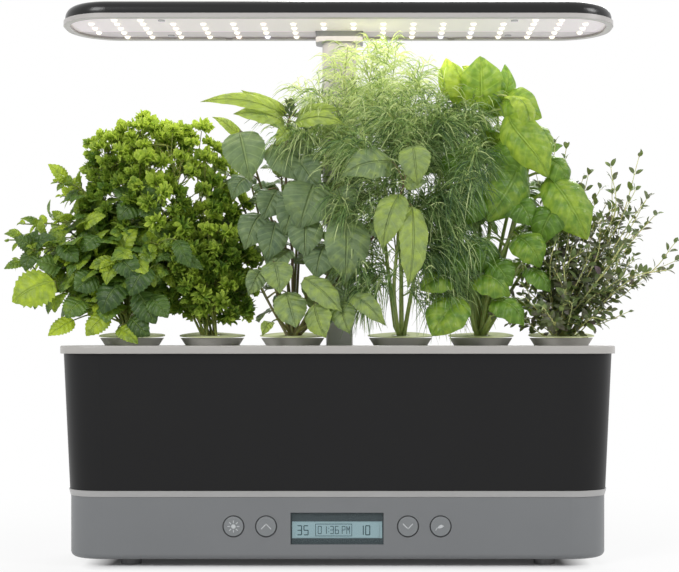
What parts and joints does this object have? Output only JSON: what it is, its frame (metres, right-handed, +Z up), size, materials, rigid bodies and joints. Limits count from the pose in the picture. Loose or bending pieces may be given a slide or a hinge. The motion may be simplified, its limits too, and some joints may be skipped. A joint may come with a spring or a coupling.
{
  "type": "countertop hydroponic garden",
  "caption": "Slim countertop hydroponic garden with herbs in pods over a water bowl, a base with display and buttons, and a height-adjustable lamp hood.",
  "frame": {"origin": "bottom centre of the bounding box, in the plane that the feet stand on", "axes": "+X to the right along the width, +Y to the rear, +Z up; the display faces -Y"},
  "size_m": [0.491, 0.123, 0.4034],
  "materials": {
    "band_grey": "satin",
    "basket_grey": "satin",
    "board_green": "satin",
    "bowl_charcoal": "satin",
    "button_grey": "satin",
    "deck_grey": "satin",
    "display_black": "matte",
    "float_white": "satin",
    "foot_rubber": "matte",
    "hood_black": "gloss",
    "hood_trim_grey": "satin",
    "housing_grey": "satin",
    "impeller_white": "satin",
    "inlet_black": "matte",
    "label_paper": "matte",
    "leaf_basil": "matte",
    "leaf_dill": "matte",
    "leaf_mint": "matte",
    "leaf_parsley": "matte",
    "leaf_thai_basil": "matte",
    "leaf_thyme": "matte",
    "led_lens": "gloss",
    "panel_white": "matte",
    "plate_aluminium": "brushed",
    "post_grey": "satin",
    "pump_black": "satin",
    "screw_steel": "polished",
    "sponge_brown": "matte",
    "window_clear": "gloss"
  },
  "bodies": {
    "garden": {"base_bottom_cover": "housing_grey", "base_housing": "housing_grey", "base_screws": "screw_steel", "base_top_tray": "band_grey", "basil_plant": "leaf_basil", "control_board": "board_green", "dill_plant": "leaf_dill", "display_window": "window_clear", "float_guide": "basket_grey", "foot_front_left": "foot_rubber", "foot_front_right": "foot_rubber", "foot_rear_left": "foot_rubber", "foot_rear_right": "foot_rubber", "grow_basket_1": "basket_grey", "grow_basket_2": "basket_grey", "grow_basket_3": "basket_grey", "grow_basket_4": "basket_grey", "grow_basket_5": "basket_grey", "grow_basket_6": "basket_grey", "grow_deck": "deck_grey", "grow_sponge_1": "sponge_brown", "grow_sponge_2": "sponge_brown", "grow_sponge_3": "sponge_brown", "grow_sponge_4": "sponge_brown", "grow_sponge_5": "sponge_brown", "grow_sponge_6": "sponge_brown", "lcd_module": "display_black", "lower_post": "post_grey", "mint_plant": "leaf_mint", "parsley_plant": "leaf_parsley", "pod_label_1": "label_paper", "pod_label_2": "label_paper", "pod_label_3": "label_paper", "pod_label_4": "label_paper", "pod_label_5": "label_paper", "pod_label_6": "label_paper", "power_inlet": "inlet_black", "pump_cover": "pump_black", "pump_motor": "pump_black", "pump_riser": "basket_grey", "reservoir_bowl": "bowl_charcoal", "tact_switches": "display_black", "thai_basil_plant": "leaf_thai_basil", "thyme_plant": "leaf_thyme"},
    "lamp": {"post_sleeve": "post_grey", "hood_trim": "hood_trim_grey", "hood_cover": "hood_black", "led_panel": "panel_white", "hood_heat_sink": "plate_aluminium", "hood_screws": "screw_steel", "led_lenses": "led_lens"},
    "light_button": {"light_button": "button_grey"},
    "up_button": {"up_button": "button_grey"},
    "down_button": {"down_button": "button_grey"},
    "feed_button": {"feed_button": "button_grey"},
    "float": {"water_float": "float_white"},
    "impeller": {"pump_impeller": "impeller_white"},
    "magnet": {"drive_magnet": "pump_black"}
  },
  "joints": [
    {"name": "hood_height", "type": "slide", "parent": "garden", "child": "lamp", "axis": [0, 0, 1], "range_m": [0, 0.07]},
    {"name": "float_rise", "type": "slide", "parent": "garden", "child": "float", "axis": [0, 0, 1], "range_m": [0, 0.055]},
    {"name": "magnet_spin", "type": "hinge", "parent": "garden", "child": "magnet", "pos_m": [0.075, -0.01, 0.05], "axis": [0, 0, 1], "continuous": true},
    {"name": "impeller_spin", "type": "hinge", "parent": "garden", "child": "impeller", "pos_m": [0.075, -0.01, 0.06], "axis": [0, 0, 1], "continuous": true},
    {"name": "light_press", "type": "slide", "parent": "garden", "child": "light_button", "axis": [0, 1, 0], "range_m": [0, 0.0008], "stiffness_N_per_m": 400, "springref_m": -0.0008},
    {"name": "up_press", "type": "slide", "parent": "garden", "child": "up_button", "axis": [0, 1, 0], "range_m": [0, 0.0008], "stiffness_N_per_m": 400, "springref_m": -0.0008},
    {"name": "down_press", "type": "slide", "parent": "garden", "child": "down_button", "axis": [0, 1, 0], "range_m": [0, 0.0008], "stiffness_N_per_m": 400, "springref_m": -0.0008},
    {"name": "feed_press", "type": "slide", "parent": "garden", "child": "feed_button", "axis": [0, 1, 0], "range_m": [0, 0.0008], "stiffness_N_per_m": 400, "springref_m": -0.0008}
  ],
  "couplings": [
    {"joint": "impeller_spin", "follows": "magnet_spin", "ratio": 1}
  ]
}
